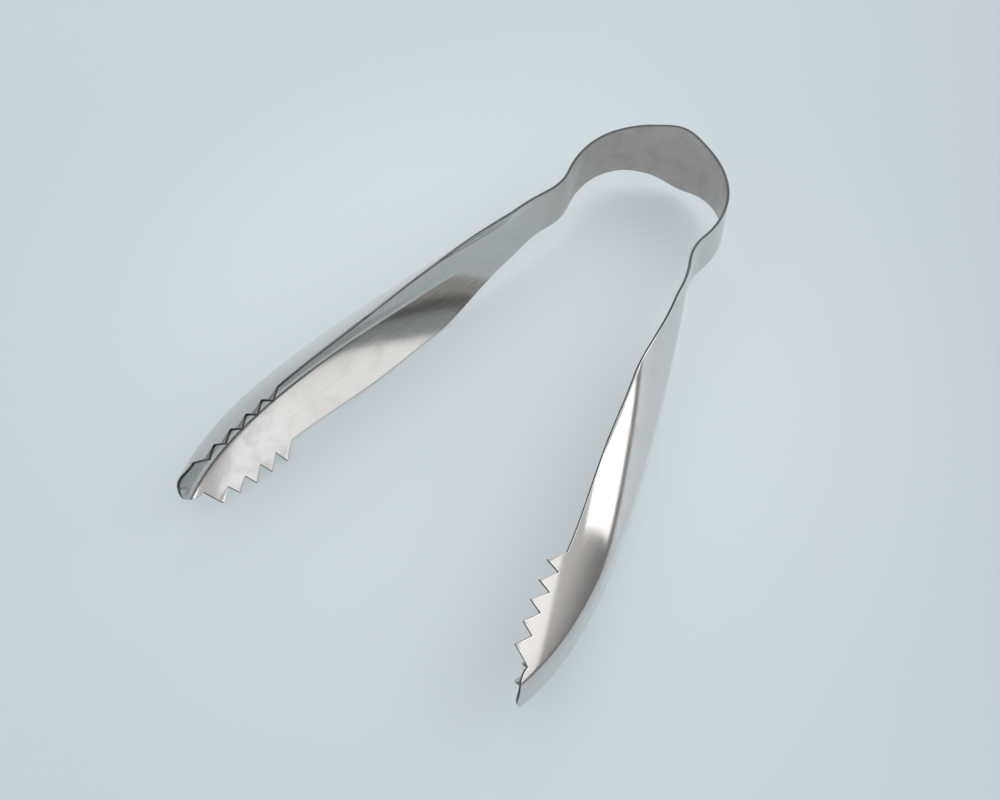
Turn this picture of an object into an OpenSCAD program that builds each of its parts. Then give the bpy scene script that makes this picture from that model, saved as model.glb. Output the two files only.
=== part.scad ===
// Ice tongs: one strip of stainless sheet, bent into a spring bow and pressed into two
// troughs that end in toothed claws. The strip lies on its edge, as on a table.
// +Y runs from the claws to the bow, +X to the right arm, and +Z up across the strip.
// The strip is divided where it flexes and where its form changes.

/* [Sheet] */
// Thickness of the steel sheet
sheet_t = 0.8; // [0.6:0.1:1]

/* [Spring bow] */
// Mean radius of the bow, at the middle of the sheet
bow_radius = 23.4; // [20:0.2:28]
// Turn of the bow from its top to each neck, in degrees
bow_sweep = 103; // [96:1:108]
// How much flatter the top and feet are than the flanks, where 0 is a true circle
bow_flattening = 0.19; // [0:0.01:0.3]
// Width of the strip at the top of the bow
crown_w = 25.6; // [22:0.2:28]
// Distance from the top of the bow to where its flare is half gone, along the strip
flare_length = 9.5; // [7:0.5:12]
// Width of the strip there
flare_w = 20.9; // [18.5:0.1:21.5]
// Width of the strip half way down the bow
flank_w = 17.2; // [16:0.1:18]
// Width of the strip at the feet of the bow
foot_w = 15.3; // [14:0.1:15.8]
// Half the length of the crown, the broad top of the bow, along the strip
crown_half = 6; // [4:0.5:9]

/* [Necks] */
// Mean radius of each neck, where the strip turns outwards
neck_radius = 16; // [12:0.5:20]
// Turn of each neck, in degrees
neck_turn = 35; // [32:0.2:38]
// Width of the strip at the end of the neck's turn
neck_w = 15.9; // [15.4:0.1:16.4]

/* [Arms] */
// Flat length after the neck's turn, before the walls of the trough begin
arm_flat = 2.4; // [2:0.2:5]
// Width of the strip where the walls of the trough begin
trough_mouth_w = 16; // [15.8:0.1:17]
// Length of the trough's mouth, along the strip
mouth_length = 13; // [10:0.5:16]
// Width across the rims at the end of the mouth
mouth_end_w = 19.7; // [18.8:0.1:21]
// Height of the trough across its rims, where it is tallest
arm_height = 31.2; // [29:0.2:33]
// Place from the neck's turn where the tallest stretch begins
tall_start = 48; // [42:1:54]
// Place from the neck's turn where the tallest stretch ends
tall_end = 62; // [58:1:76]
// How much lower the trough is where the teeth begin than where it is tallest
claw_root_drop = 4.4; // [3.4:0.2:6]
// Width of the flat web between the folds, along the arm
web_w = 9.8; // [8:0.2:12]
// Width of the web at its narrowest, just after the trough begins
web_waist_w = 7.4; // [5.6:0.2:7.8]
// Distance from the start of the trough to that waist, along the strip
web_waist_at = 13; // [10:1:18]
// Distance from the start of the trough to where the web has its full width
web_full_at = 53; // [42:1:64]
// Fold of each wall out of the web at the end of the mouth, in degrees
mouth_fold = 15; // [10:1:20]
// Fold of each wall out of the web half way along the arm, in degrees
wall_fold = 30; // [24:1:35]
// Fold of each wall at the teeth, in degrees
claw_fold = 43; // [38:1:47]
// Radius of the walls, which curl inwards from their folds to their rims
wall_curl_radius = 46; // [42:1:90]
// Half the length of sheet that a fold takes up along the arm
fold_reach = 0.8; // [0.6:0.1:1.4]
// Half the length of sheet that a fold takes up at the nose
nose_fold_reach = 2; // [1.4:0.1:3]
// Radius of the slight bow along the whole arm
arm_bow_radius = 690; // [600:10:2000]
// Place from the neck's turn where the arm begins to curl inwards
curl_start = 35; // [25:1:50]
// Radius of the curl at the nose
curl_radius = 51; // [42:1:64]

/* [Claws] */
// Place from the neck's turn where the first tooth begins to rise
claw_start = 101.8; // [96:0.2:108]
// Number of teeth on each rim
tooth_count = 5; // [3:1:5]
// Distance from one tooth to the next, along the strip
tooth_pitch = 5.95; // [5.4:0.05:6.2]
// Distance from where a tooth begins to rise to its tip, along the strip
tooth_rise = 5; // [4:0.1:5.6]
// Distance from a tip to the notch after it, along the strip
tooth_drop = 0.9; // [0.6:0.1:1.2]
// Height of the first tooth above its notches, measured on the sheet
first_tooth_h = 4.1; // [2.8:0.1:4.2]
// Height of the last tooth above its notches, measured on the sheet
last_tooth_h = 3.5; // [1.8:0.1:3.9]
// How much narrower the sheet is across the notches half way along the teeth than where they begin
claw_mid_narrowing = 4.6; // [3:0.2:6]
// How much narrower the sheet is across the notches at the last tooth than where they begin
claw_end_narrowing = 12.8; // [10:0.2:14]
// Width of the round nose, measured flat
nose_w = 16.6; // [15:0.2:19]
// Length of the round nose past the last tooth, along the strip
nose_length = 5.8; // [4:0.2:8]

/* [Hidden] */

satin_steel = [0.64, 0.63, 0.61];
polished_steel = [0.80, 0.81, 0.82];
claw_steel = [0.72, 0.71, 0.69];

// Places along the middle of the strip, counted from the top of the bow
degree = PI / 180;
bow_end = bow_radius * bow_sweep * degree;
neck_end = bow_end + neck_radius * neck_turn * degree;
trough_start = neck_end + arm_flat;
mouth_end = trough_start + mouth_length;
claw_place = neck_end + claw_start;
last_tip_place = claw_place + tooth_rise + tooth_pitch * (tooth_count - 1);
nose_place = last_tip_place + tooth_drop;
strip_end = nose_place + nose_length;
curl_place = neck_end + curl_start;
curl_length = strip_end - curl_place;
flex_place = (crown_half + bow_end) / 2;

// Spacing of the sections along the strip
spine_step = 0.5;
bow_step = 1.2;
arm_step = 3.2;
nose_turn_step = 12;
nose_turn_last = 84;

// Parts that a fold, a wall and a tooth's ramp are divided into, and a fold's share of the nose
fold_parts = 4;
wall_parts = 3;
ramp_parts = 3;
nose_fold_share = 0.75;

// A smooth curve through [place, value] knots that never overshoots them
function secant(k, i) = (k[i + 1][1] - k[i][1]) / (k[i + 1][0] - k[i][0]);
function knot_slope(k, i) =
    i == 0 ? secant(k, 0) :
    i == len(k) - 1 ? secant(k, i - 1) :
    let (before = secant(k, i - 1), after = secant(k, i))
    before * after <= 0 ? 0 : 2 * before * after / (before + after);
function span_of(k, s, i = 0) = i >= len(k) - 2 || s < k[i + 1][0] ? i : span_of(k, s, i + 1);
function through(k, s) =
    let (
        i = span_of(k, s),
        run = k[i + 1][0] - k[i][0],
        t = min(1, max(0, (s - k[i][0]) / run)),
        ease = t * t * (3 - 2 * t)
    )
    k[i][1] * (1 - ease) + k[i + 1][1] * ease
    + run * t * (1 - t) * (knot_slope(k, i) * (1 - t) - knot_slope(k, i + 1) * t);

// Half the height of the strip across its edges, up to where the teeth begin
half_heights = [
    [-flare_length, flare_w / 2],
    [0, crown_w / 2],
    [flare_length, flare_w / 2],
    [bow_end / 2, flank_w / 2],
    [bow_end, foot_w / 2],
    [neck_end, neck_w / 2],
    [trough_start, trough_mouth_w / 2],
    [mouth_end, mouth_end_w / 2],
    [neck_end + tall_start, arm_height / 2],
    [neck_end + tall_end, arm_height / 2],
    [claw_place, (arm_height - claw_root_drop) / 2]
];

// The trough's folds: how far they lie from the middle, how far they turn and how soft they are
fold_edge_margin = 1;
fold_places = [
    [trough_start, trough_mouth_w / 2 - fold_reach - fold_edge_margin],
    [trough_start + web_waist_at, web_waist_w / 2],
    [trough_start + web_full_at, web_w / 2],
    [strip_end, web_w / 2]
];
mid_arm_place = (trough_start + claw_place) / 2;
nose_fold_gain = 4;
fold_turns = [
    [trough_start, 0],
    [mouth_end, mouth_fold],
    [mid_arm_place, wall_fold],
    [claw_place + tooth_pitch, claw_fold],
    [strip_end, claw_fold + nose_fold_gain]
];
fold_reaches = [
    [trough_start, fold_reach],
    [mid_arm_place, fold_reach],
    [strip_end, nose_fold_reach]
];

// The walls' curl, as turn for each length of sheet, straight where the mouth begins
straight_wall = 1e-6;
wall_curls = [
    [trough_start, straight_wall],
    [mouth_end, 1 / wall_curl_radius],
    [strip_end, 1 / wall_curl_radius]
];

// Direction of the strip in plan, in degrees from +X: the bow turns in, the neck out, the arm in
function curl(s) = pow(max(0, s - curl_place) / curl_length, 4) * curl_length / 4 / curl_radius;
function heading(s) =
    s <= bow_end
        ? -(s - bow_flattening * bow_end / (2 * PI) * sin(360 * s / bow_end)) / bow_radius / degree
    : s <= neck_end ? -bow_sweep + (s - bow_end) / neck_radius / degree
    : -bow_sweep + neck_turn - ((s - neck_end) / arm_bow_radius + curl(s)) / degree;
spine_steps = ceil(strip_end / spine_step) + 1;
spine = [
    for (
        i = 0, p = [0, 0];
        i <= spine_steps;
        turn = heading((i + 0.5) * spine_step), p = p + spine_step * [cos(turn), sin(turn)], i = i + 1
    ) p
];
function spine_at(s) =
    let (f = s / spine_step, i = floor(f)) spine[i] + (f - i) * (spine[i + 1] - spine[i]);

// Depth and height of the folded section at a distance u from its middle, measured on the sheet,
// pushed out by off through the thickness
function section_point(s, u, off) =
    let (
        turn = through(fold_turns, s),
        reach = through(fold_reaches, s),
        flat = through(fold_places, s) - reach,
        a = abs(u),
        part_turn = turn * min(1, max(0, (a - flat) / (2 * reach))),
        bend = turn > 0 ? 2 * reach / (turn * degree) : 0,
        on_fold = turn > 0 ? bend * sin(part_turn) : min(2 * reach, max(0, a - flat)),
        past = max(0, a - flat - 2 * reach),
        wall_curl = through(wall_curls, s),
        swing = turn + past * wall_curl / degree,
        slope = past > 0 ? swing : part_turn,
        depth = bend * (1 - cos(part_turn)) + (cos(turn) - cos(swing)) / wall_curl - off * cos(slope),
        height = min(a, flat) + on_fold + (sin(swing) - sin(turn)) / wall_curl + off * sin(slope)
    )
    [depth, sign(u) * height];
function place(s, section) =
    let (h = heading(s), p = spine_at(s))
    [p.x + section[0] * sin(h), p.y - section[0] * cos(h), section[1]];

// Distance from the middle to the rim, measured on the sheet, that gives the strip its height
// on the surface that lies off from the middle of the thickness
function rim(s, off = 0) =
    let (
        turn = through(fold_turns, s),
        reach = through(fold_reaches, s),
        flat = through(fold_places, s) - reach,
        on_fold = turn > 0 ? 2 * reach / (turn * degree) * sin(turn) : 2 * reach,
        wall_height = through(half_heights, s) - flat - on_fold,
        wall_curl = through(wall_curls, s),
        swing = asin((sin(turn) + wall_height * wall_curl) / (1 + off * wall_curl))
    )
    flat + 2 * reach + (swing - turn) * degree / wall_curl;

// Each section runs up the outer face and down the inner face
function ring(s, outer_stops, inner_stops) = concat(
    [for (u = outer_stops) place(s, section_point(s, u, sheet_t / 2))],
    [for (i = [len(inner_stops) - 1 : -1 : 0]) place(s, section_point(s, inner_stops[i], -sheet_t / 2))]
);
function both_sides(stops) = concat(
    [for (i = [len(stops) - 1 : -1 : 1]) -stops[i]],
    stops
);

// A flat stretch of the strip
function flat_section(s) =
    let (edge = through(half_heights, s), h = heading(s), p = spine_at(s))
    [
        for (corner = [[-1, -1], [-1, 1], [1, 1], [1, -1]])
        let (depth = corner[0] * sheet_t / 2)
        [p.x + depth * sin(h), p.y - depth * cos(h), corner[1] * edge]
    ];

// The arm's rims are dressed level along the tall stretch, so that it can rest on them
rim_level = [
    [trough_start, 1],
    [neck_end + tall_end, 1],
    [claw_place, 0]
];
function arm_stops(s, off) =
    let (
        reach = through(fold_reaches, s),
        inner = through(fold_places, s) - reach,
        wall = inner + 2 * reach,
        edge = rim(s, through(rim_level, s) * off)
    )
    both_sides(concat(
        [0],
        [for (i = [0 : fold_parts]) inner + (wall - inner) * i / fold_parts],
        [for (i = [1 : wall_parts]) wall + (edge - wall) * i / wall_parts]
    ));
function arm_section(s) = ring(s, arm_stops(s, sheet_t / 2), arm_stops(s, -sheet_t / 2));

// Outline of the flat claw as [place, half width]: raked teeth, then a round nose
notch_line = [
    [claw_place, rim(claw_place)],
    [(claw_place + tooth_rise + last_tip_place) / 2, rim(claw_place) - claw_mid_narrowing / 2],
    [last_tip_place, rim(claw_place) - claw_end_narrowing / 2]
];
function tip_place(i) = claw_place + tooth_rise + i * tooth_pitch;
function tooth_h(i) = first_tooth_h + (last_tooth_h - first_tooth_h) * i / (tooth_count - 1);
function tip_at(i) = [tip_place(i), through(notch_line, tip_place(i)) + tooth_h(i)];
function notch_at(i) =
    i < 0 ? notch_line[0] : let (s = tip_place(i) + tooth_drop) [s, through(notch_line, s)];
saw_outline = [
    for (i = [0 : tooth_count - 1], share = [0 : 1 / ramp_parts : 1])
    notch_at(i - 1) * (1 - share) + tip_at(i) * share
];
nose_outline = [
    for (turn = [0 : nose_turn_step : nose_turn_last])
    [nose_place + nose_length * sin(turn), nose_w / 2 * cos(turn)]
];

// Across the claw, sections are closest at the folds and are drawn in at the nose
function claw_stops(s, edge) =
    let (
        reach = through(fold_reaches, s),
        fold = through(fold_places, s),
        wall = min(fold + reach, nose_fold_share * edge),
        inner = wall * (fold - reach) / (fold + reach)
    )
    both_sides(concat(
        [0],
        [for (i = [0 : fold_parts]) inner + (wall - inner) * i / fold_parts],
        [for (i = [1 : wall_parts]) wall + (edge - wall) * i / wall_parts]
    ));
claw_rings = [
    for (point = concat(saw_outline, nose_outline))
    let (stops = claw_stops(point[0], point[1])) ring(point[0], stops, stops)
];

// The solid between a row of sections
module loft(rings) {
    around = len(rings[0]);
    half = around / 2;
    last = (len(rings) - 1) * around;
    sides = [
        for (i = [0 : len(rings) - 2], j = [0 : around - 1], first = [true, false])
        let (a = i * around + j, b = i * around + (j + 1) % around)
        first ? [a, a + around, b + around] : [a, b + around, b]
    ];
    ends = [
        for (j = [0 : half - 2], first = [true, false], far = [0, last])
        let (
            back = around - 1 - j,
            face = first ? [j, j + 1, back] : [j + 1, back - 1, back]
        )
        far == 0 ? face : [for (k = [2 : -1 : 0]) face[k] + last]
    ];
    polyhedron(points = [for (r = rings, p = r) p], faces = concat(sides, ends));
}

// Sections from one place to another, no further apart than the step
function stations(from, to, step) =
    let (n = ceil((to - from) / step)) [for (i = [0 : n]) from + (to - from) * i / n];

// The tongs lie on the lower rims of their arms, centred on the origin in plan
bow_top = sheet_t / 2;
nose_low = min([for (r = claw_rings, p = r) p.y]);
middle_y = (bow_top + nose_low) / 2;
middle_z = max(arm_height / 2, max([for (r = claw_rings, p = r) p.z]));
module lay() {
    translate([0, -middle_y, middle_z]) children();
}
module right() {
    lay() children();
}
module left() {
    mirror([1, 0, 0]) lay() children();
}

module bow_crown() {
    turned = [for (s = stations(0, crown_half, bow_step)) flat_section(s)];
    mirrored = [
        for (i = [len(turned) - 1 : -1 : 1])
        [for (j = [0 : 3]) let (p = turned[i][j]) [-p.x, p.y, p.z]]
    ];
    color(satin_steel) lay() loft(concat(mirrored, turned));
}
module flat_strip(from, to) {
    color(satin_steel) loft([for (s = stations(from, to, bow_step)) flat_section(s)]);
}
module bow_shoulder() {
    flat_strip(crown_half, flex_place);
}
module bow_flank() {
    flat_strip(flex_place, bow_end);
}
module neck() {
    flat_strip(bow_end, trough_start);
}
module arm() {
    color(polished_steel) loft([for (s = stations(trough_start, claw_place, arm_step)) arm_section(s)]);
}
module claw() {
    color(claw_steel) loft(claw_rings);
}

// Each side of the bow flexes about the inner face of the strip, between its shoulder and its flank
flex_heading = heading(flex_place);
flex_point = spine_at(flex_place) + sheet_t / 2 * [sin(flex_heading), -cos(flex_heading)];
echo(right_flex_axis = [flex_point.x, flex_point.y - middle_y]);

bow_crown();
right() bow_shoulder();  // bow_shoulder_right
right() bow_flank();  // bow_flank_right
right() neck();  // neck_right
right() arm();  // arm_right
right() claw();  // claw_right
left() bow_shoulder();  // bow_shoulder_left
left() bow_flank();  // bow_flank_left
left() neck();  // neck_left
left() arm();  // arm_left
left() claw();  // claw_left
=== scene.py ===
"""Looks of a pair of ice tongs: one strip of stainless sheet, bent into a spring bow, pressed into
two troughed arms and cut into two toothed claws. Places on the flat blank are in millimetres:
s runs along the strip from the top of the bow, u runs across it from its middle."""

import logging
import math
from dataclasses import dataclass
from enum import Enum
from typing import Any

import bpy
import numpy as np
from mathutils import Matrix, Quaternion, Vector


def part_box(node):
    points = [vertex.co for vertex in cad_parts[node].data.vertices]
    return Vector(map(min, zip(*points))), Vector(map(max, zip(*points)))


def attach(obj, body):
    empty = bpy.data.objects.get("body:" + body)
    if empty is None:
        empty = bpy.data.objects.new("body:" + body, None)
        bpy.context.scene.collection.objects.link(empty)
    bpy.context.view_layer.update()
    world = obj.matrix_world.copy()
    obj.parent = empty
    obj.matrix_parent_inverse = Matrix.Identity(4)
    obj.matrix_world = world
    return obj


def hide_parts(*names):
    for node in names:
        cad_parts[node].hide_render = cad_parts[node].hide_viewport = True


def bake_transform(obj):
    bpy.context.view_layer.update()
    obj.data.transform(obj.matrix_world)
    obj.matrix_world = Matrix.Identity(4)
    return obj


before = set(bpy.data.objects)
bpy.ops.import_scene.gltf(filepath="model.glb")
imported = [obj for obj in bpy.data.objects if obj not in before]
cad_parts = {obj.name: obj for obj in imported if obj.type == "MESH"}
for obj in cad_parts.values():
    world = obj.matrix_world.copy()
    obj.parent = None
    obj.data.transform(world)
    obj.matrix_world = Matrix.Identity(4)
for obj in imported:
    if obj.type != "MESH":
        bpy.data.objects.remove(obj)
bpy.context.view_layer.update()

MM = 0.001
UV_NAME = "blank"
RIM_NAME = "to_rim"
BLANK_LENGTH = 200.0
BLANK_WIDTH = 40.0
FLAT_ENOUGH = 1e-6
SEAM = 0.05
WELD_DISTANCE = 1e-6
LOG = logging.getLogger("ice_tongs")

# Watts from a square metre of lamp that looks white
WHITE_LAMP_POWER = math.pi

Colour = tuple[float, float, float]
Point = tuple[float, float, float]


class Side(Enum):
    """The two arms of the tongs, by the sign of X."""

    RIGHT = 1
    LEFT = -1

    def named(self, stem: str) -> str:
        """Name of this side's copy of a piece, node or body."""
        return f"{stem}_{self.name.lower()}"

    @property
    def body(self) -> str:
        """Name of the body that this arm moves with."""
        return f"{self.name.lower()}_arm"


class Face(Enum):
    """The faces of the sheet, by the material slot that each has on a piece."""

    OUTER = 0
    INNER = 1
    EDGE = 2


class KnotCurve:
    """A smooth curve through (place, value) knots that never overshoots them."""

    def __init__(self, *knots: tuple[float, float]) -> None:
        """Works out the slope at each knot.

        Args:
            knots: Place and value of each knot, in order of place.
        """
        self.places = np.array([place for place, _ in knots], float)
        self.values = np.array([value for _, value in knots], float)
        secants = np.diff(self.values) / np.diff(self.places)
        before, after = secants[:-1], secants[1:]
        rising = before * after > 0
        total = np.where(rising, before + after, 1)
        inner = np.where(rising, 2 * before * after / total, 0)
        self.slopes = np.concatenate([secants[:1], inner, secants[-1:]])

    def __call__(self, place: Any) -> np.ndarray:
        """Value of the curve, level before its first knot and after its last.

        Args:
            place: One place or an array of them.

        Returns:
            The values there.
        """
        place = np.asarray(place, float)
        last = len(self.places) - 2
        i = np.clip(np.searchsorted(self.places, place, side="right") - 1, 0, last)
        run = self.places[i + 1] - self.places[i]
        t = np.clip((place - self.places[i]) / run, 0, 1)
        ease = t * t * (3 - 2 * t)
        level = self.values[i] * (1 - ease) + self.values[i + 1] * ease
        return level + run * t * (1 - t) * (self.slopes[i] * (1 - t) - self.slopes[i + 1] * t)


@dataclass(frozen=True)
class StripSizes:
    """Driving sizes of the strip, in millimetres and degrees, as its solids have them."""

    sheet_t: float = 0.8
    bow_radius: float = 23.4
    bow_sweep: float = 103
    bow_flattening: float = 0.19
    crown_w: float = 25.6
    crown_half: float = 6
    flare_length: float = 9.5
    flare_w: float = 20.9
    flank_w: float = 17.2
    foot_w: float = 15.3
    neck_radius: float = 16
    neck_turn: float = 35
    neck_w: float = 15.9
    arm_flat: float = 2.4
    trough_mouth_w: float = 16
    mouth_length: float = 13
    mouth_end_w: float = 19.7
    arm_height: float = 31.2
    tall_start: float = 48
    tall_end: float = 62
    claw_root_drop: float = 4.4
    web_w: float = 9.8
    web_waist_w: float = 7.4
    web_waist_at: float = 13
    web_full_at: float = 53
    mouth_fold: float = 15
    wall_fold: float = 30
    claw_fold: float = 43
    wall_curl_radius: float = 46
    fold_reach: float = 0.8
    nose_fold_reach: float = 2
    nose_fold_gain: float = 4
    fold_edge_margin: float = 1
    arm_bow_radius: float = 690
    curl_start: float = 35
    curl_radius: float = 51
    claw_start: float = 101.8
    tooth_count: int = 5
    tooth_pitch: float = 5.95
    tooth_rise: float = 5
    tooth_drop: float = 0.9
    first_tooth_h: float = 4.1
    last_tooth_h: float = 3.5
    claw_mid_narrowing: float = 4.6
    claw_end_narrowing: float = 12.8
    nose_w: float = 16.6
    nose_length: float = 5.8


class StripForm:
    """The bent and pressed strip: finds where a point of its flat blank lies in the part."""

    SPINE_STEP = 0.1

    def __init__(self, sizes: StripSizes) -> None:
        """Works out the strip's places and curves and seats it in the frame.

        Args:
            sizes: The strip's driving sizes.
        """
        z = self.sizes = sizes
        self.bow_end = z.bow_radius * math.radians(z.bow_sweep)
        self.neck_end = self.bow_end + z.neck_radius * math.radians(z.neck_turn)
        self.trough_start = self.neck_end + z.arm_flat
        self.claw_place = self.neck_end + z.claw_start
        self.last_tip = self.claw_place + z.tooth_rise + z.tooth_pitch * (z.tooth_count - 1)
        self.nose_place = self.last_tip + z.tooth_drop
        self.strip_end = self.nose_place + z.nose_length
        self.curl_place = self.neck_end + z.curl_start
        self.curl_length = self.strip_end - self.curl_place
        mouth_end = self.trough_start + z.mouth_length
        mid_arm = (self.trough_start + self.claw_place) / 2
        self.half_height = KnotCurve(
            (-z.flare_length, z.flare_w / 2),
            (0, z.crown_w / 2),
            (z.flare_length, z.flare_w / 2),
            (self.bow_end / 2, z.flank_w / 2),
            (self.bow_end, z.foot_w / 2),
            (self.neck_end, z.neck_w / 2),
            (self.trough_start, z.trough_mouth_w / 2),
            (mouth_end, z.mouth_end_w / 2),
            (self.neck_end + z.tall_start, z.arm_height / 2),
            (self.neck_end + z.tall_end, z.arm_height / 2),
            (self.claw_place, (z.arm_height - z.claw_root_drop) / 2),
        )
        self.fold_place = KnotCurve(
            (self.trough_start, z.trough_mouth_w / 2 - z.fold_reach - z.fold_edge_margin),
            (self.trough_start + z.web_waist_at, z.web_waist_w / 2),
            (self.trough_start + z.web_full_at, z.web_w / 2),
            (self.strip_end, z.web_w / 2),
        )
        self.fold_turn = KnotCurve(
            (self.trough_start, 0),
            (mouth_end, math.radians(z.mouth_fold)),
            (mid_arm, math.radians(z.wall_fold)),
            (self.claw_place + z.tooth_pitch, math.radians(z.claw_fold)),
            (self.strip_end, math.radians(z.claw_fold + z.nose_fold_gain)),
        )
        self.wall_curl = KnotCurve(
            (self.trough_start, 0),
            (mouth_end, 1 / z.wall_curl_radius),
            (self.strip_end, 1 / z.wall_curl_radius),
        )
        self.fold_reach = KnotCurve(
            (self.trough_start, z.fold_reach),
            (mid_arm, z.fold_reach),
            (self.strip_end, z.nose_fold_reach),
        )
        steps = math.ceil(self.strip_end / self.SPINE_STEP) + 1
        middles = (np.arange(steps) + 0.5) * self.SPINE_STEP
        turns = self.heading(middles)
        self.spine_s = np.arange(steps + 1) * self.SPINE_STEP
        self.spine_x = np.concatenate([[0], np.cumsum(self.SPINE_STEP * np.cos(turns))])
        self.spine_y = np.concatenate([[0], np.cumsum(self.SPINE_STEP * np.sin(turns))])
        crown_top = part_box("bow_crown")[1].y
        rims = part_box("arm_right")
        self.top_y = crown_top - z.sheet_t / 2 * MM
        self.low_z, self.high_z = rims[0].z, rims[1].z

    def heading(self, s: np.ndarray) -> np.ndarray:
        """Direction of the strip in plan, from +X: the bow turns in, the neck out, the arm in.

        Args:
            s: Places along the strip.

        Returns:
            The directions, in radians.
        """
        z = self.sizes
        ripple = z.bow_flattening * self.bow_end / math.tau
        bow = -(s - ripple * np.sin(math.tau * s / self.bow_end)) / z.bow_radius
        neck = -math.radians(z.bow_sweep) + (s - self.bow_end) / z.neck_radius
        run = np.maximum(0, s - self.curl_place) / self.curl_length
        curl = run**4 * self.curl_length / 4 / z.curl_radius
        arm_turn = math.radians(z.neck_turn - z.bow_sweep)
        arm = arm_turn - (s - self.neck_end) / z.arm_bow_radius - curl
        return np.where(s <= self.bow_end, bow, np.where(s <= self.neck_end, neck, arm))

    def section(self, s: np.ndarray, u: np.ndarray) -> tuple[np.ndarray, np.ndarray]:
        """Shape of the folded section: a flat web, two folds and two walls that curl in a little.

        Args:
            s: Places along the strip.
            u: Distances from its middle, measured on the sheet.

        Returns:
            Depth of the points towards the other arm, and their height above the middle.
        """
        turn = np.maximum(self.fold_turn(s), FLAT_ENOUGH)
        reach = self.fold_reach(s)
        flat = self.fold_place(s) - reach
        across = np.abs(u)
        part = turn * np.clip((across - flat) / (2 * reach), 0, 1)
        bend = 2 * reach / turn
        past = np.maximum(0, across - flat - 2 * reach)
        curl = np.maximum(self.wall_curl(s), FLAT_ENOUGH)
        swing = turn + past * curl
        depth = bend * (1 - np.cos(part)) + (np.cos(turn) - np.cos(swing)) / curl
        height = np.minimum(across, flat) + bend * np.sin(part) + (np.sin(swing) - np.sin(turn)) / curl
        return depth, np.sign(u) * height

    def rim(self, s: Any) -> np.ndarray:
        """Distance from the middle to the rim, measured on the sheet, that gives the strip its height.

        Args:
            s: Places along the strip, up to the claw.

        Returns:
            The distances.
        """
        turn = np.maximum(self.fold_turn(s), FLAT_ENOUGH)
        reach = self.fold_reach(s)
        flat = self.fold_place(s) - reach
        curl = np.maximum(self.wall_curl(s), FLAT_ENOUGH)
        wall_height = self.half_height(s) - flat - 2 * reach / turn * np.sin(turn)
        swing = np.arcsin(np.sin(turn) + wall_height * curl)
        folded = flat + 2 * reach + (swing - turn) / curl
        return np.where(np.asarray(s) < self.trough_start, self.half_height(np.abs(s)), folded)

    def place(self, s: np.ndarray, u: np.ndarray, side: Side) -> np.ndarray:
        """Where points of the blank lie in the part.

        Args:
            s: Places along the strip; the other arm's, on the crown, are below 0.
            u: Distances from its middle.
            side: The arm that the points are on.

        Returns:
            The points, in metres, with their coordinates on the last axis.
        """
        along = np.abs(s)
        depth, height = self.section(along, u)
        turn = self.heading(along)
        x = np.interp(along, self.spine_s, self.spine_x) + depth * np.sin(turn)
        y = np.interp(along, self.spine_s, self.spine_y) - depth * np.cos(turn)
        x = np.where(s < 0, -x, x) * side.value
        middle_z = (self.low_z + self.high_z) / 2
        return np.stack([x * MM, y * MM + self.top_y, height * MM + middle_z], -1)


def stations(start: float, end: float, step: float) -> np.ndarray:
    """Rows of a piece along the strip, with one more row close to each end.

    Args:
        start: Place of the first row.
        end: Place of the last row.
        step: Greatest distance between rows.

    Returns:
        The rows' places, in order.
    """
    count = math.ceil((end - start) / step)
    rows = np.linspace(start, end, count + 1)
    return np.concatenate([[start, start + SEAM], rows[1:-1], [end - SEAM, end]])


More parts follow.
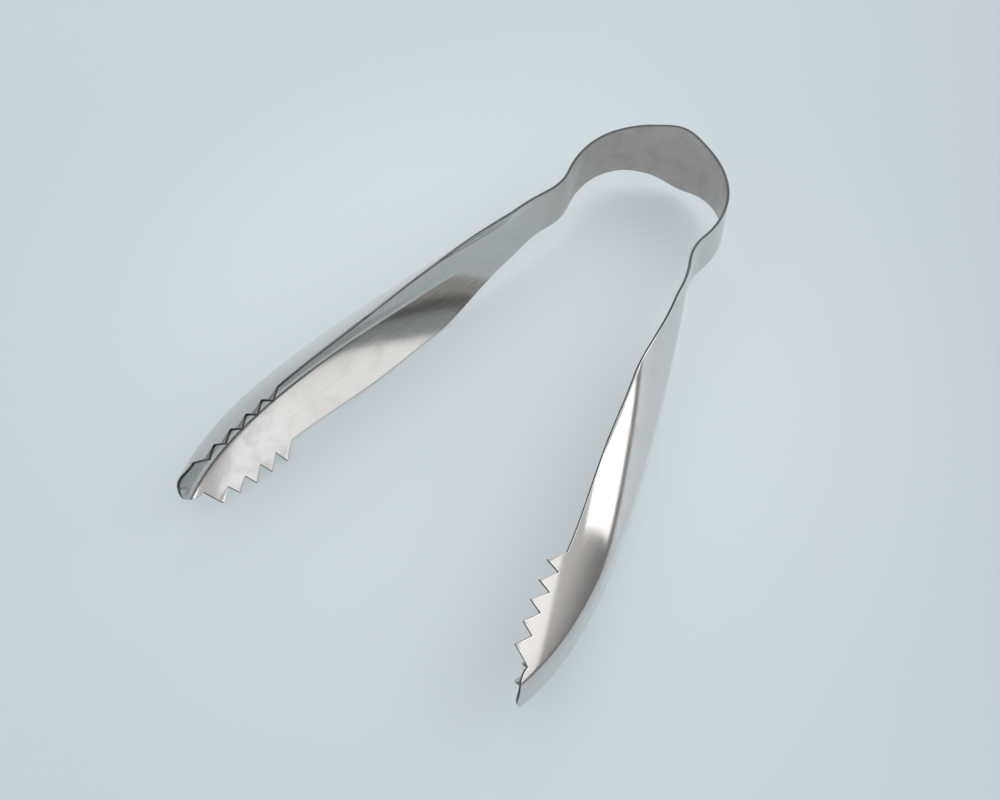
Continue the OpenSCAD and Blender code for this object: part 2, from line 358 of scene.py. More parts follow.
@dataclass
class SheetPiece:
    """A stretch of the strip, made as a sheet and given its thickness."""

    form: StripForm
    side: Side
    stem: str
    slot: str
    edge_round: float = 0.13
    edge_segments: int = 2
    smooth_angle: float = 38.0

    @property
    def name(self) -> str:
        """Name of the piece."""
        return self.side.named(self.stem)

    def outline(self) -> tuple[np.ndarray, np.ndarray]:
        """Rows of the piece and the half width of the blank at each."""
        raise NotImplementedError

    def columns(self, s: float, edge: float) -> list[float]:
        """Distances of the columns from the middle of the strip to its edge at one row."""
        raise NotImplementedError

    def seat(self, piece: bpy.types.Object) -> None:
        """Makes the piece move with the frame and stand for its solids."""
        raise NotImplementedError

    def build(self) -> bpy.types.Object:
        """Presses a flat grid into the piece and gives it thickness and broken edges.

        Returns:
            The piece.
        """
        rows, edges = self.outline()
        halves = np.array([self.columns(s, edge) for s, edge in zip(rows, edges)])
        across = np.concatenate([-halves[:, :0:-1], halves], axis=1)
        along = np.repeat(rows[:, None], across.shape[1], axis=1)
        piece = self.sheet(along, across, edges)
        self.thicken(piece)
        return piece

    def sheet(self, along: np.ndarray, across: np.ndarray, edges: np.ndarray) -> bpy.types.Object:
        """Adds a grid and presses it into the middle surface of the sheet.

        Args:
            along: Place along the strip of each grid point, row by row.
            across: Distance of each grid point from the middle of the strip.
            edges: Half width of the blank at each row.

        Returns:
            The grid's object, with its blank mapped as UV and its distance to the rim as an attribute.
        """
        bpy.ops.object.select_all(action="DESELECT")
        count = along.shape
        bpy.ops.mesh.primitive_grid_add(x_subdivisions=count[1] - 1, y_subdivisions=count[0] - 1, size=1)
        piece = bpy.context.object
        piece.name = piece.data.name = self.name
        mesh = piece.data
        points = self.form.place(along, across, self.side)
        mesh.vertices.foreach_set("co", points.reshape(-1).astype(np.float32))
        corner = np.empty(len(mesh.loops), np.int32)
        mesh.loops.foreach_get("vertex_index", corner)
        blank = np.stack([np.abs(along) / BLANK_LENGTH, across / BLANK_WIDTH + 0.5], -1).reshape(-1, 2)
        mesh.uv_layers[0].name = UV_NAME
        mesh.uv_layers[0].data.foreach_set("uv", blank[corner].reshape(-1).astype(np.float32))
        to_rim = (edges[:, None] - np.abs(across)).reshape(-1)
        mesh.attributes.new(RIM_NAME, "FLOAT", "POINT").data.foreach_set("value", to_rim.astype(np.float32))
        ends = np.empty(len(mesh.edges) * 2, np.int32)
        mesh.edges.foreach_get("vertices", ends)
        column = ends.reshape(-1, 2) % count[1]
        on_rim = (column[:, 0] == column[:, 1]) & np.isin(column[:, 0], (0, count[1] - 1))
        weights = mesh.attributes.new("bevel_weight_edge", "FLOAT", "EDGE")
        weights.data.foreach_set("value", on_rim.astype(np.float32))
        mesh.update()
        bpy.ops.object.mode_set(mode="EDIT")
        bpy.ops.mesh.select_all(action="SELECT")
        if self.side is Side.LEFT:
            bpy.ops.mesh.flip_normals()
        bpy.ops.mesh.remove_doubles(threshold=WELD_DISTANCE)
        bpy.ops.object.mode_set(mode="OBJECT")
        return piece

    def thicken(self, piece: bpy.types.Object) -> None:
        """Gives the sheet its thickness, breaks its long edges and dresses its rims level.

        Args:
            piece: The pressed middle surface.
        """
        for _ in Face:
            piece.data.materials.append(None)
        solid = piece.modifiers.new("thickness", "SOLIDIFY")
        solid.thickness = self.form.sizes.sheet_t * MM
        solid.offset = 0
        solid.use_even_offset = True
        solid.material_offset = Face.INNER.value
        solid.material_offset_rim = Face.EDGE.value
        bevel = piece.modifiers.new("broken_edges", "BEVEL")
        bevel.limit_method = "WEIGHT"
        bevel.width = self.edge_round * MM
        bevel.segments = self.edge_segments
        for modifier in ("thickness", "broken_edges"):
            bpy.ops.object.modifier_apply(modifier=modifier)
        points = np.empty(len(piece.data.vertices) * 3, np.float32)
        piece.data.vertices.foreach_get("co", points)
        heights = points.reshape(-1, 3)[:, 2]
        heights[:] = np.clip(heights, self.form.low_z, self.form.high_z)
        piece.data.vertices.foreach_set("co", points)
        piece.data.update()
        bpy.ops.object.shade_smooth_by_angle(angle=math.radians(self.smooth_angle))

    def dress(self, piece: bpy.types.Object, finishes: dict[Face, bpy.types.Material]) -> None:
        """Puts a finish on each face of the sheet.

        Args:
            piece: The finished mesh.
            finishes: The material of each face.
        """
        for face in Face:
            piece.data.materials[face.value] = finishes[face]


@dataclass
class FlatStretch(SheetPiece):
    """A stretch of the bow, flat across."""

    column_count: int = 7
    edge_band: float = 0.5
    step: float = 0.6

    def columns(self, s: float, edge: float) -> list[float]:
        """Even columns, with one more close to the edge."""
        inner = edge - self.edge_band
        return [inner * i / (self.column_count - 1) for i in range(self.column_count)] + [edge]

    def rows(self) -> np.ndarray:
        """Places of the rows along the strip."""
        raise NotImplementedError

    def outline(self) -> tuple[np.ndarray, np.ndarray]:
        """Rows of the stretch and the half width of the blank at each."""
        rows = self.rows()
        return rows, self.form.half_height(np.abs(rows))


@dataclass
class BowCrown(FlatStretch):
    """The broad top of the bow, which stays still as the arms close."""

    @property
    def name(self) -> str:
        """Name of the piece."""
        return self.stem

    def rows(self) -> np.ndarray:
        """Places of the rows, from one shoulder to the other."""
        reach = self.form.sizes.crown_half
        return stations(-reach, reach, self.step)

    def seat(self, piece: bpy.types.Object) -> None:
        """Rides on the bow and stands for the crown.

        Args:
            piece: The finished mesh.
        """
        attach(piece, "bow")
        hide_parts("bow_crown")


@dataclass
class BowLimb(FlatStretch):
    """One side of the bow, from the crown to the end of the neck."""

    flex_margin: float = 3.0

    def rows(self) -> np.ndarray:
        """Places of the rows, from the crown to the end of the neck."""
        return stations(self.form.sizes.crown_half, self.form.neck_end, self.step)

    def seat(self, piece: bpy.types.Object) -> None:
        """Keeps its place and stands for the shoulder and the flank.

        Args:
            piece: The finished mesh.
        """
        ends = np.array([self.form.sizes.crown_half, self.form.neck_end - self.flex_margin])
        start, end = self.form.place(ends, np.zeros(2), self.side).tolist()
        self.side.body
        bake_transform(piece)
        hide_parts(self.side.named("bow_shoulder"), self.side.named("bow_flank"))


@dataclass
class PressedStretch(SheetPiece):
    """A stretch of the strip with a web, two folds and two walls."""

    web_columns: int = 4
    fold_columns: int = 10
    wall_columns: int = 12
    rim_columns: int = 3
    rim_band: float = 0.6
    nose_fold_share: float = 0.75

    def inner_line(self, s: float, edge: float) -> float:
        """Distance from the middle at which the band along the edge begins."""
        return edge - self.rim_band

    def columns(self, s: float, edge: float) -> list[float]:
        """Columns of the web, the fold, the wall and the band along the edge.

        Args:
            s: Place of the row.
            edge: Half width of the blank there.

        Returns:
            Distances from the middle, in order.
        """
        form = self.form
        line = self.inner_line(s, edge)
        reach, fold = float(form.fold_reach(s)), float(form.fold_place(s))
        wall = min(fold + reach, self.nose_fold_share * line)
        web = wall * (fold - reach) / (fold + reach)
        knots = [0.0, web, wall, line, edge]
        counts = [self.web_columns, self.fold_columns, self.wall_columns, self.rim_columns]
        spans = [np.linspace(a, b, n + 1)[1:] for a, b, n in zip(knots, knots[1:], counts)]
        return [0.0] + [float(u) for span in spans for u in span]


@dataclass
class ArmTrough(PressedStretch):
    """An arm: its neck's flat end and its trough, up to the teeth."""

    step: float = 0.7

    def outline(self) -> tuple[np.ndarray, np.ndarray]:
        """Rows of the arm and the half width of the blank at each."""
        rows = stations(self.form.neck_end, self.form.claw_place, self.step)
        return rows, self.form.rim(rows)

    def seat(self, piece: bpy.types.Object) -> None:
        """Rides on its arm and stands for the neck and the arm.

        Args:
            piece: The finished mesh.
        """
        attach(piece, self.side.body)
        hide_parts(self.side.named("neck"), self.side.named("arm"))


@dataclass
class ClawJaw(PressedStretch):
    """A claw: two rows of raked teeth, then a round nose."""

    step: float = 0.6
    drop_step: float = 0.3
    corner_round: float = 0.28
    corner_parts: int = 4
    nose_turn_step: float = 6.0

    def __post_init__(self) -> None:
        """Works out the outline of the teeth and the line that the band along them begins on."""
        form, z = self.form, self.form.sizes
        root = float(form.rim(form.claw_place))
        middle = (form.claw_place + z.tooth_rise + form.last_tip) / 2
        notch_line = KnotCurve(
            (form.claw_place, root),
            (middle, root - z.claw_mid_narrowing / 2),
            (form.last_tip, root - z.claw_end_narrowing / 2),
        )
        self.corners: list[tuple[float, float]] = [(form.claw_place, root)]
        for i in range(z.tooth_count):
            tip = form.claw_place + z.tooth_rise + i * z.tooth_pitch
            height = z.first_tooth_h + (z.last_tooth_h - z.first_tooth_h) * i / (z.tooth_count - 1)
            self.corners.append((tip, float(notch_line(tip)) + height))
            notch = tip + z.tooth_drop
            self.corners.append((notch, float(notch_line(notch))))
        self.corners[-1] = (form.nose_place, z.nose_w / 2)
        last_notch = form.nose_place - z.tooth_pitch
        self.band_line = KnotCurve(
            (form.claw_place, root - self.rim_band),
            (middle, float(notch_line(middle)) - self.rim_band),
            (last_notch, float(notch_line(last_notch)) - self.rim_band),
            (form.nose_place, z.nose_w / 2 - self.rim_band),
        )

    def inner_line(self, s: float, edge: float) -> float:
        """Distance from the middle at which the band along the teeth or the nose begins."""
        share = 1 - 2 * self.rim_band / self.form.sizes.nose_w
        return float(self.band_line(s)) if s < self.form.nose_place else edge * share

    def saw(self) -> list[tuple[float, float]]:
        """Outline of the teeth, with straight flanks and eased corners.

        Returns:
            Place and half width of each point, in order.
        """
        points = [np.array(corner) for corner in self.corners]
        line = [points[0]]
        for before, corner, after in zip(points, points[1:], points[2:]):
            into, out = corner - before, after - corner
            start = corner - into * self.corner_round / np.linalg.norm(into)
            end = corner + out * self.corner_round / np.linalg.norm(out)
            line += self.straight(line[-1], start)
            for t in np.linspace(0, 1, self.corner_parts + 1)[1:]:
                line.append(start * (1 - t) ** 2 + 2 * corner * t * (1 - t) + end * t**2)
        line += self.straight(line[-1], points[-1])
        return [(float(s), float(edge)) for s, edge in line]

    def straight(self, start: np.ndarray, end: np.ndarray) -> list[np.ndarray]:
        """Even points along a tooth's flank, without its first.

        Args:
            start: Place and half width where the flank begins.
            end: Place and half width where it ends.

        Returns:
            The points, up to the end.
        """
        step = self.step if end[1] > start[1] else self.drop_step
        count = max(2, math.ceil((end[0] - start[0]) / step))
        return [start + (end - start) * i / count for i in range(1, count + 1)]

    def outline(self) -> tuple[np.ndarray, np.ndarray]:
        """Rows of the claw, along its teeth and round its nose.

        Returns:
            Places of the rows and the half width of the blank at each.
        """
        z = self.form.sizes
        turns = np.radians(np.arange(self.nose_turn_step, 90 + self.nose_turn_step, self.nose_turn_step))
        nose = [
            (self.form.nose_place + z.nose_length * math.sin(t), max(0.0, z.nose_w / 2 * math.cos(t)))
            for t in turns
        ]
        saw = self.saw()
        slope = (saw[1][1] - saw[0][1]) / (saw[1][0] - saw[0][0])
        first = (saw[0][0] + SEAM, saw[0][1] + slope * SEAM)
        rows = np.array([saw[0], first] + saw[1:] + nose)
        return rows[:, 0], rows[:, 1]

    def seat(self, piece: bpy.types.Object) -> None:
        """Rides on its arm and stands for the claw.

        Args:
            piece: The finished mesh.
        """
        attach(piece, self.side.body)
        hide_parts(self.side.named("claw"))


class Graph:
    """Fills a node tree by short calls."""

    SHADER = "Principled BSDF"
    MIX_COLOURS = (6, 7)
    MIX_RESULT = 2

    def __init__(self, tree: bpy.types.NodeTree) -> None:
        """Holds the tree that the nodes go into."""
        self.tree = tree

    def add(self, kind: str, inputs: dict[Any, Any] | None = None, **options: Any) -> bpy.types.Node:
        """Adds a node.

        Args:
            kind: The node's type.
            inputs: What each input holds: a value, or the socket that feeds it.
            options: The node's own settings.

        Returns:
            The node.
        """
        node = self.tree.nodes.new(kind)
        for option, choice in options.items():
            setattr(node, option, choice)
        for key, value in (inputs or {}).items():
            self.feed(node.inputs[key], value)
        return node

    def feed(self, socket: bpy.types.NodeSocket, value: Any) -> None:
        """Links a socket to another, or sets its value.

        Args:
            socket: The socket that is fed.
            value: The value, or the socket that feeds it.
        """
        if isinstance(value, bpy.types.NodeSocket):
            self.tree.links.new(value, socket)
        else:
            socket.default_value = value

    def math(self, operation: str, *values: Any) -> bpy.types.NodeSocket:
        """Result of a sum on values or sockets."""
        return self.add("ShaderNodeMath", dict(enumerate(values)), operation=operation).outputs[0]

    def remap(
        self, value: Any, start: float, end: float, low: float = 0, high: float = 1
    ) -> bpy.types.NodeSocket:
        """Goes smoothly from low to high as the value goes from start to end.

        Args:
            value: The socket to read.
            start: The value that gives low.
            end: The value that gives high.
            low: The result before start.
            high: The result after end.

        Returns:
            The result's socket.
        """
        inputs = {0: value, 1: start, 2: end, 3: low, 4: high}
        return self.add("ShaderNodeMapRange", inputs, interpolation_type="SMOOTHSTEP").outputs[0]

    def mix(self, share: Any, first: Any, second: Any, blend: str = "MIX") -> bpy.types.NodeSocket:
        """Mixes two colours.

        Args:
            share: How much of the second colour there is.
            first: The first colour, as a socket or as red, green and blue.
            second: The second colour.
            blend: How the two are mixed.

        Returns:
            The mixed colour's socket.
        """
        node = self.add("ShaderNodeMix", {0: share}, data_type="RGBA", blend_type=blend)
        for place, colour in zip(self.MIX_COLOURS, (first, second)):
            self.feed(node.inputs[place], (*colour, 1) if isinstance(colour, tuple) else colour)
        return node.outputs[self.MIX_RESULT]

    def tint(self, colour: Any, tone: Any) -> bpy.types.NodeSocket:
        """A colour made darker or paler by a tone."""
        shade = self.add("ShaderNodeCombineColor", {0: tone, 1: tone, 2: tone}).outputs[0]
        return self.mix(1.0, colour, shade, "MULTIPLY")

    def noise(self, place: Any, scale: Any, detail: float, roughness: float = 0.5) -> bpy.types.NodeSocket:
        """Soft noise between 0 and 1."""
        inputs = {"Vector": place, "Scale": scale, "Detail": detail, "Roughness": roughness}
        return self.add("ShaderNodeTexNoise", inputs).outputs["Fac"]


class SurfaceGroup:
    """A shared effect on the steel, as a node group that puts out one value."""

    title = ""
    sockets: tuple[tuple[str, str], ...] = ()

    def __init__(self) -> None:
        """Builds the group once."""
        self.tree = bpy.data.node_groups.new(self.title, "ShaderNodeTree")
        for name, kind in self.sockets:
            self.tree.interface.new_socket(name, in_out="INPUT", socket_type=kind)
        self.tree.interface.new_socket("Mask", in_out="OUTPUT", socket_type="NodeSocketFloat")
        graph = Graph(self.tree)
        mask = self.draw(graph, graph.add("NodeGroupInput").outputs)
        graph.add("NodeGroupOutput", {"Mask": mask})

    def draw(self, graph: Graph, given: Any) -> bpy.types.NodeSocket:
        """Draws the effect's nodes and gives the socket of its mask."""
        raise NotImplementedError

    def put(self, graph: Graph, **values: Any) -> bpy.types.NodeSocket:
        """Places the group in a material.

        Args:
            graph: The material's nodes.
            values: What each of the group's inputs holds.

        Returns:
            The mask's socket.
        """
        node = graph.add("ShaderNodeGroup", node_tree=self.tree)
        for name, value in values.items():
            graph.feed(node.inputs[name.capitalize()], value)
        return node.outputs["Mask"]


class BrushedStreaks(SurfaceGroup):
    """Fine streaks along the strip, as a polishing belt leaves them."""

    title = "brushed_streaks"
    sockets = (("Place", "NodeSocketVector"), ("Length", "NodeSocketFloat"), ("Width", "NodeSocketFloat"))
    detail: float = 4.0
    grain: float = 0.6
    levels: tuple[float, float] = (0.3, 0.7)

    def draw(self, graph: Graph, given: Any) -> bpy.types.NodeSocket:
        """Stretches noise along the strip.

        Args:
            graph: The group's nodes.
            given: The group's inputs.

        Returns:
            The mask's socket.
        """
        thin = [graph.math("DIVIDE", 1.0, given[name]) for name in ("Length", "Width")]
        stretch = graph.add("ShaderNodeCombineXYZ", {0: thin[0], 1: thin[1]}).outputs[0]
        inputs = {0: given["Place"], 1: stretch}
        place = graph.add("ShaderNodeVectorMath", inputs, operation="MULTIPLY").outputs[0]
        return graph.remap(graph.noise(place, 1.0, self.detail, self.grain), *self.levels)


class CloudyMarks(SurfaceGroup):
    """Soft blotches, as handling and rinsing leave them."""

    title = "cloudy_marks"
    sockets = (("Place", "NodeSocketVector"), ("Size", "NodeSocketFloat"), ("Cover", "NodeSocketFloat"))
    detail: float = 3.0
    grain: float = 0.55
    softness: float = 0.12

    def draw(self, graph: Graph, given: Any) -> bpy.types.NodeSocket:
        """Cuts soft patches out of noise.

        Args:
            graph: The group's nodes.
            given: The group's inputs.

        Returns:
            The mask's socket.
        """
        scale = graph.math("DIVIDE", 1.0, given["Size"])
        cloud = graph.noise(given["Place"], scale, self.detail, self.grain)
        level = graph.math("SUBTRACT", graph.math("ADD", cloud, given["Cover"]), 1.0)
        return graph.remap(level, -self.softness, self.softness)


class RimSheenAndDarkBand(SurfaceGroup):
    """A band of wavering width along the rim: a painted highlight on the outer face, a darker band on the
    inner face.
    """

    title = "rim_sheen_and_dark_band"
    sockets = (("Place", "NodeSocketVector"), ("Distance", "NodeSocketFloat"), ("Reach", "NodeSocketFloat"))
    waver_scale: float = 0.6
    waver_detail: float = 2.0
    least_waver: float = 0.5

    def draw(self, graph: Graph, given: Any) -> bpy.types.NodeSocket:
        """Fades from the rim over a distance that wavers.

        Args:
            graph: The group's nodes.
            given: The group's inputs.

        Returns:
            The mask's socket.
        """
        noise = graph.noise(given["Place"], self.waver_scale, self.waver_detail)
        waver = graph.math("ADD", noise, self.least_waver)
        reach = graph.math("MULTIPLY", given["Reach"], waver)
        share = graph.math("DIVIDE", given["Distance"], reach)
        return graph.remap(share, 1.0, 0.0)


@dataclass(frozen=True)
class Zone:
    """Finish of one zone of a face."""

    colour: Colour
    roughness: float
    streak_tone: float
    streak_grain: float
    mark_tone: float


@dataclass(frozen=True)
class Steel:
    """What every finish of the strip shares: its groups and where its zones meet, in millimetres."""

    form: StripForm
    streaks: BrushedStreaks
    marks: CloudyMarks
    rim: RimSheenAndDarkBand
    arm_lead: float = 14.0
    claw_lead: float = 14.0
    claw_reach: float = 4.0

    def start(self, name: str, first_u: float) -> tuple[bpy.types.Material, Graph, bpy.types.NodeSocket]:
        """Starts a metal material that knows its place on the flat blank.

        Args:
            name: The material's name.
            first_u: Distance across the strip at which the map of the blank begins.

        Returns:
            The material, its nodes and the socket of the place, in millimetres.
        """
        material = bpy.data.materials.new(name)
        material.use_nodes = True
        graph = Graph(material.node_tree)
        material.node_tree.nodes[Graph.SHADER].inputs["Metallic"].default_value = 1.0
        blank = graph.add("ShaderNodeUVMap", uv_map=UV_NAME).outputs[0]
        inputs = {"Vector": blank, "Location": (0, first_u, 0), "Scale": (BLANK_LENGTH, BLANK_WIDTH, 1)}
        return material, graph, graph.add("ShaderNodeMapping", inputs).outputs[0]

    def arm_share(self, graph: Graph, along: Any) -> bpy.types.NodeSocket:
        """How far the finish has changed from the bow's to the arm's."""
        mouth_end = self.form.trough_start + self.form.sizes.mouth_length
        return graph.remap(along, self.form.bow_end - self.arm_lead, mouth_end)

    def claw_share(self, graph: Graph, along: Any) -> bpy.types.NodeSocket:
        """How far the finish has changed from the arm's to the claw's."""
        claw = self.form.claw_place
        return graph.remap(along, claw - self.claw_lead, claw + self.claw_reach)


@dataclass(frozen=True)
class FaceFinish:
    """A face of the sheet, whose finish changes from the bow along the arm to the claw."""

    name: str
    bow: Zone
    arm: Zone
    claw: Zone
    streak_length: float
    streak_width: float
    mark_size: float
    mark_cover: float
    mark_grain: float
    rim_reach: float
    rim_tone: float
    bump: float
    bump_depth: float = 0.00002

    def material(self, steel: Steel) -> bpy.types.Material:
        """Makes the finish's material.

        Args:
            steel: The shared groups and zones.

        Returns:
            The material.
        """
        material, graph, place = steel.start(self.name, -BLANK_WIDTH / 2)
        shader = material.node_tree.nodes[Graph.SHADER]
        along = graph.add("ShaderNodeSeparateXYZ", {0: place}).outputs[0]
        arm = steel.arm_share(graph, along)
        claw = steel.claw_share(graph, along)
        streaks = steel.streaks.put(graph, place=place, length=self.streak_length, width=self.streak_width)
        swing = graph.math("SUBTRACT", streaks, 0.5)
        marks = steel.marks.put(graph, place=place, size=self.mark_size, cover=self.mark_cover)
        to_rim = graph.add("ShaderNodeAttribute", attribute_name=RIM_NAME).outputs["Fac"]
        rim = steel.rim.put(graph, place=place, distance=to_rim, reach=self.rim_reach)

        def zoned(value: str) -> bpy.types.NodeSocket:
            """A value of the zones, as it changes along the strip.

            Args:
                value: The name of the zones' field.

            Returns:
                The value's socket.
            """
            on_bow, on_arm, on_claw = (getattr(zone, value) for zone in (self.bow, self.arm, self.claw))
            first = graph.remap(arm, 0, 1, on_bow, on_arm)
            change = graph.math("SUBTRACT", on_claw, first)
            return graph.math("MULTIPLY_ADD", claw, change, first)

        colour = graph.mix(claw, graph.mix(arm, self.bow.colour, self.arm.colour), self.claw.colour)
        tone = graph.math("MULTIPLY_ADD", swing, zoned("streak_tone"), 1.0)
        tone = graph.math("MULTIPLY_ADD", marks, zoned("mark_tone"), tone)
        # Band along the rim: a painted highlight on the outer face, darker on the inner face.
        tone = graph.math("MULTIPLY_ADD", rim, self.rim_tone, tone)
        graph.feed(shader.inputs["Base Color"], graph.tint(colour, tone))
        grain = graph.math("MULTIPLY_ADD", swing, zoned("streak_grain"), zoned("roughness"))
        grain = graph.math("MULTIPLY_ADD", marks, self.mark_grain, grain)
        graph.feed(shader.inputs["Roughness"], grain)
        relief = {"Height": streaks, "Strength": self.bump, "Distance": self.bump_depth}
        graph.feed(shader.inputs["Normal"], graph.add("ShaderNodeBump", relief).outputs[0])
        return material


@dataclass(frozen=True)
class EdgeFinish:
    """The cut edge of the sheet: darker than its faces, and near black on the claw as painted shade on its
    teeth, with the shear's fine lines across it.
    """

    name: str
    colour: Colour
    claw_painted_shade_colour: Colour
    roughness: float
    line_length: float
    line_width: float
    line_tone: float = 0.86
    line_grain: tuple[float, float] = (-0.08, 0.1)

    def material(self, steel: Steel) -> bpy.types.Material:
        """Makes the edge's material.

        Args:
            steel: The shared groups and zones.

        Returns:
            The material.
        """
        material, graph, place = steel.start(self.name, 0)
        shader = material.node_tree.nodes[Graph.SHADER]
        lines = steel.streaks.put(graph, place=place, length=self.line_length, width=self.line_width)
        low, high = (self.roughness + change for change in self.line_grain)
        graph.feed(shader.inputs["Roughness"], graph.remap(lines, 0, 1, low, high))
        along = graph.add("ShaderNodeSeparateXYZ", {0: place}).outputs[0]
        # Towards the claw the edge turns near black: painted shade on the teeth's cut edges.
        colour = graph.mix(steel.claw_share(graph, along), self.colour, self.claw_painted_shade_colour)
        tone = graph.remap(lines, 0, 1, self.line_tone, 1.0)
        graph.feed(shader.inputs["Base Color"], graph.tint(colour, tone))
        return material


@dataclass(frozen=True)
class SoftBox:
    """A large soft lamp of the studio."""

    name: str
    azimuth: float
    elevation: float
    distance: float
    width: float
    height: float
    glow: float
    tilt: float = 0.0
    shines: bool = True

    def hang(self, scene: bpy.types.Scene) -> None:
        """Hangs the lamp, facing the object and out of the camera's sight.

        Args:
            scene: The scene that it lights.
        """
        turn, rise = math.radians(self.azimuth), math.radians(self.elevation)
        way = Vector((math.cos(turn) * math.cos(rise), math.sin(turn) * math.cos(rise), math.sin(rise)))
        lamp = bpy.data.lights.new(self.name, "AREA")
        lamp.shape = "RECTANGLE"
        lamp.size = self.width
        lamp.size_y = self.height
        lamp.energy = self.glow * WHITE_LAMP_POWER * self.width * self.height
        box = bpy.data.objects.new(self.name, lamp)
        box.location = way * self.distance
        facing = (-way).to_track_quat("-Z", "Y")
        box.rotation_euler = (facing @ Quaternion((0, 0, 1), math.radians(self.tilt))).to_euler()
        box.visible_camera = False
        box.visible_glossy = self.shines
        scene.collection.objects.link(box)


@dataclass
class Studio:
    """A pale table with a painted pool of light on it, soft light round it and the camera."""

    lamps: tuple[SoftBox, ...]
    camera_aim: Point = (-0.004065, -0.00787, -0.0001)
    camera_azimuth: float = 33.64
    camera_elevation: float = 56.94
    camera_roll: float = -0.44
    camera_distance: float = 0.4141
    camera_nearest: float = 0.01
    focal_pixels: float = 1482.0
    picture_width: float = 1000.0
    sensor_width: float = 36.0
    floor_size: float = 4.0
    floor_colour: Colour = (0.583, 0.649, 0.678)
    # Painted shade: the floor's colour falls off away from its middle and towards one side, a painted pool
    # of light.
    floor_far_painted_shade: Colour = (0.506, 0.570, 0.614)
    floor_side_painted_shade: Colour = (0.896, 0.874, 0.877)
    painted_light_pool_middle: Point = (-0.02, 0.0, 0.0)
    painted_light_pool_reach: tuple[float, float] = (0.04, 0.16)
    painted_side_shade_way: Point = (0.8325, 0.554, 0.0)
    painted_side_shade_reach: tuple[float, float] = (0.02, 0.20)
    floor_roughness: float = 0.35
    floor_gloss: float = 0.05
    floor_glow: float = 0.40
    sky_low: Colour = (0.22, 0.22, 0.22)
    sky_high: Colour = (0.62, 0.62, 0.62)
    sky_rise: tuple[float, float] = (0.05, 0.5)

    def build(self) -> None:
        """Lays the table, hangs the light and sets up the camera."""
        scene = bpy.context.scene
        scene.view_settings.view_transform = "Standard"
        self.lay_floor()
        self.light_sky(scene)
        for lamp in self.lamps:
            lamp.hang(scene)
        self.set_camera(scene)

    def lay_floor(self) -> None:
        """Lays the table top, its colour painted darker away from its middle and towards one side."""
        bpy.ops.object.select_all(action="DESELECT")
        bpy.ops.mesh.primitive_plane_add(size=self.floor_size)
        floor = bpy.context.object
        floor.name = "table_top"
        material = bpy.data.materials.new("pale_table")
        material.use_nodes = True
        shader = material.node_tree.nodes[Graph.SHADER]
        shader.inputs["Roughness"].default_value = self.floor_roughness
        shader.inputs["Specular IOR Level"].default_value = self.floor_gloss
        graph = Graph(material.node_tree)
        place = graph.add("ShaderNodeTexCoord").outputs["Object"]
        # Painted light and shade: paler round the middle, darker away from it and towards one side.
        away = graph.add("ShaderNodeVectorMath", {0: place, 1: self.painted_light_pool_middle}, operation="DISTANCE")
        aside = graph.add("ShaderNodeVectorMath", {0: place, 1: self.painted_side_shade_way}, operation="DOT_PRODUCT")
        far = graph.remap(away.outputs["Value"], *self.painted_light_pool_reach)
        side = graph.remap(aside.outputs["Value"], *self.painted_side_shade_reach)
        colour = graph.mix(far, self.floor_colour, self.floor_far_painted_shade)
        colour = graph.mix(side, colour, graph.mix(1.0, colour, self.floor_side_painted_shade, "MULTIPLY"))
        for name in ("Base Color", "Emission Color"):
            graph.feed(shader.inputs[name], colour)
        rays = graph.add("ShaderNodeLightPath").outputs
        seen = graph.math("MAXIMUM", rays["Is Camera Ray"], rays["Is Glossy Ray"])
        seen = graph.math("MAXIMUM", seen, rays["Is Transmission Ray"])
        graph.feed(shader.inputs["Emission Strength"], graph.math("MULTIPLY", seen, self.floor_glow))
        floor.data.materials.append(material)

    def light_sky(self, scene: bpy.types.Scene) -> None:
        """Lights the room softly, from a dim horizon to a pale ceiling.

        Args:
            scene: The scene whose world it is.
        """
        world = scene.world or bpy.data.worlds.new("room")
        scene.world = world
        world.use_nodes = True
        graph = Graph(world.node_tree)
        way = graph.add("ShaderNodeTexCoord").outputs["Generated"]
        rise = graph.add("ShaderNodeSeparateXYZ", {0: way}).outputs["Z"]
        colour = graph.mix(graph.remap(rise, *self.sky_rise), self.sky_low, self.sky_high)
        graph.feed(world.node_tree.nodes["Background"].inputs["Color"], colour)

    def set_camera(self, scene: bpy.types.Scene) -> None:
        """Sets the camera up where the photograph was taken from.

        Args:
            scene: The scene that it is the camera of.
        """
        turn, rise = math.radians(self.camera_azimuth), math.radians(self.camera_elevation)
        back = Vector((math.sin(turn) * math.cos(rise), -math.cos(turn) * math.cos(rise), math.sin(rise)))
        right = Vector((math.cos(turn), math.sin(turn), 0))
        up = back.cross(right)
        roll = math.radians(self.camera_roll)
        rolled = right * math.cos(roll) + up * math.sin(roll)
        up = up * math.cos(roll) - right * math.sin(roll)
        camera = bpy.data.objects.new("camera", bpy.data.cameras.new("camera"))
        scene.collection.objects.link(camera)
        camera.data.lens = self.focal_pixels * self.sensor_width / self.picture_width
        camera.data.sensor_width = self.sensor_width
        camera.data.sensor_fit = "HORIZONTAL"
        camera.data.clip_start = self.camera_nearest
        turned = Matrix((rolled, up, back)).transposed().to_4x4()
        spot = Vector(self.camera_aim) + back * self.camera_distance
        camera.matrix_world = Matrix.Translation(spot) @ turned
        scene.camera = camera


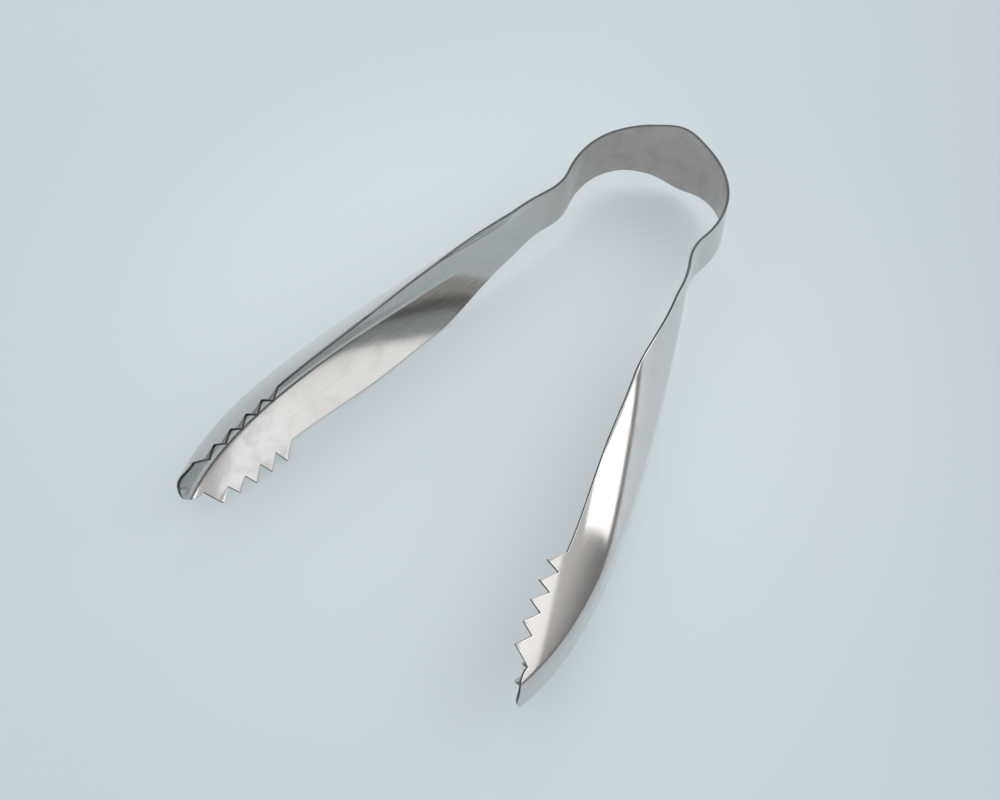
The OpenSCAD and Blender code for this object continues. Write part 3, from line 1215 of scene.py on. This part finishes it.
INNER_FACE = FaceFinish(
    name="inner_satin_steel",
    bow=Zone((0.525, 0.49, 0.46), 0.34, 0.05, 0.05, -0.10),
    arm=Zone((0.59, 0.58, 0.565), 0.11, 0.12, 0.06, -0.03),
    claw=Zone((0.64, 0.63, 0.62), 0.15, 0.05, 0.05, -0.10),
    streak_length=14.0,
    streak_width=0.35,
    mark_size=6.0,
    mark_cover=0.44,
    mark_grain=0.05,
    rim_reach=0.5,
    rim_tone=-0.15,
    bump=0.10,
)
OUTER_FACE = FaceFinish(
    name="outer_polished_steel",
    bow=Zone((0.60, 0.58, 0.56), 0.16, 0.03, 0.03, -0.05),
    arm=Zone((0.72, 0.705, 0.69), 0.09, 0.02, 0.02, -0.05),
    claw=Zone((0.68, 0.66, 0.64), 0.11, 0.02, 0.02, -0.05),
    streak_length=20.0,
    streak_width=0.4,
    mark_size=9.0,
    mark_cover=0.36,
    mark_grain=0.03,
    rim_reach=0.4,
    # A painted highlight along the outer rim.
    rim_tone=0.4,
    bump=0.02,
)
CUT_EDGE = EdgeFinish(
    name="cut_edge_steel",
    colour=(0.22, 0.22, 0.22),
    # Painted shade: near black on the claw's teeth.
    claw_painted_shade_colour=(0.10, 0.10, 0.10),
    roughness=0.20,
    line_length=0.25,
    line_width=3.0,
)

STUDIO_LAMPS = (
    SoftBox(
        "window_lamp", azimuth=47.4, elevation=14.0, distance=1.2,
        width=0.54, height=0.42, glow=1.3,
    ),
    SoftBox(
        "upper_lamp", azimuth=9.2, elevation=32.7, distance=1.2,
        width=1.17, height=0.38, glow=0.6, tilt=40.0,
    ),
    SoftBox(
        "side_lamp", azimuth=80.0, elevation=38.0, distance=1.3,
        width=1.6, height=1.2, glow=0.8, shines=False,
    ),
)


def main() -> None:
    """Builds the studio, then each stretch of the strip."""
    logging.basicConfig(level=logging.INFO, format="%(message)s")
    Studio(STUDIO_LAMPS).build()
    form = StripForm(StripSizes())
    steel = Steel(form, BrushedStreaks(), CloudyMarks(), RimSheenAndDarkBand())
    finishes = {
        Face.OUTER: OUTER_FACE.material(steel),
        Face.INNER: INNER_FACE.material(steel),
        Face.EDGE: CUT_EDGE.material(steel),
    }
    stretches: list[SheetPiece] = [BowCrown(form, Side.RIGHT, "bow_band_top", "bow_steel")]
    for side in Side:
        stretches.append(BowLimb(form, side, "bow_limb", "bow_steel"))
        stretches.append(ArmTrough(form, side, "arm_trough", "arm_steel"))
        stretches.append(ClawJaw(form, side, "claw_jaw", "claw_steel"))
    for stretch in stretches:
        piece = stretch.build()
        stretch.dress(piece, finishes)
        stretch.seat(piece)
        LOG.info("%s: %d faces", piece.name, len(piece.data.polygons))


if __name__ == "__main__":
    main()
